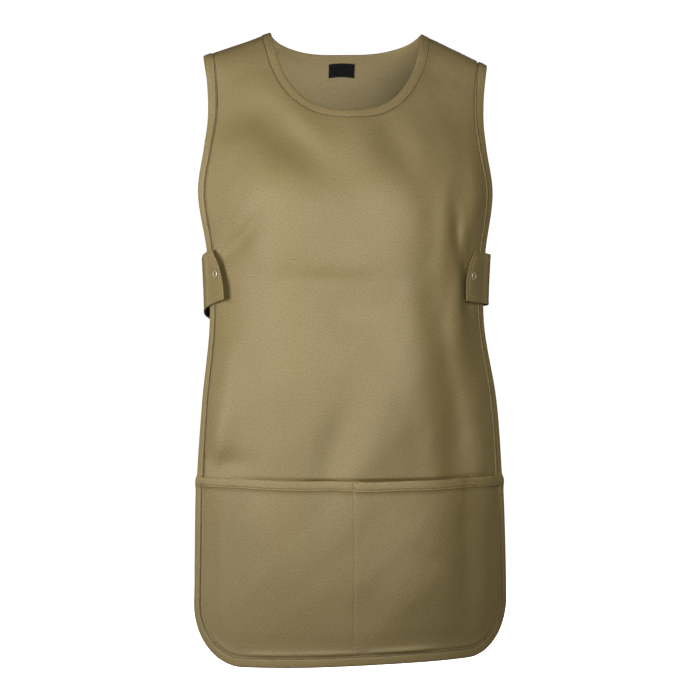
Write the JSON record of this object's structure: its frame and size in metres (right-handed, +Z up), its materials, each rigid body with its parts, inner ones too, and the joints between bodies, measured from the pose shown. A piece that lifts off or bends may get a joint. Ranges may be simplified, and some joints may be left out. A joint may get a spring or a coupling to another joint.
{
  "type": "pinafore apron",
  "caption": "Pull-on work apron with a front and a back panel, a scoop neck, bound edges, a divided front pocket and snap-fastened side tabs, held in its worn form.",
  "frame": {"origin": "midway between the two neck points, at the crest of the shoulder seams, where the apron rests on the shoulders", "axes": "+Z up, the front panel faces -Y, +X is the right side as seen from the front"},
  "size_m": [0.3815, 0.2455, 0.7662],
  "materials": {
    "khaki_twill": "matte twill-woven cotton blend",
    "khaki_tape": "matte bias tape of the same cloth",
    "black_label": "satin woven label",
    "snap_metal": "nickel-plated press stud"
  },
  "bodies": {
    "root": {"front_panel": "khaki_twill", "back_panel": "khaki_twill", "pocket_panel": "khaki_twill", "side_tab_left": "khaki_twill", "side_tab_right": "khaki_twill", "edge_binding": "khaki_tape", "neck_binding": "khaki_tape", "pocket_binding": "khaki_tape", "neck_label": "black_label", "snap_ring_left": "snap_metal", "snap_ring_right": "snap_metal", "snap_stud_left": "snap_metal", "snap_stud_right": "snap_metal"}
  },
  "joints": []
}
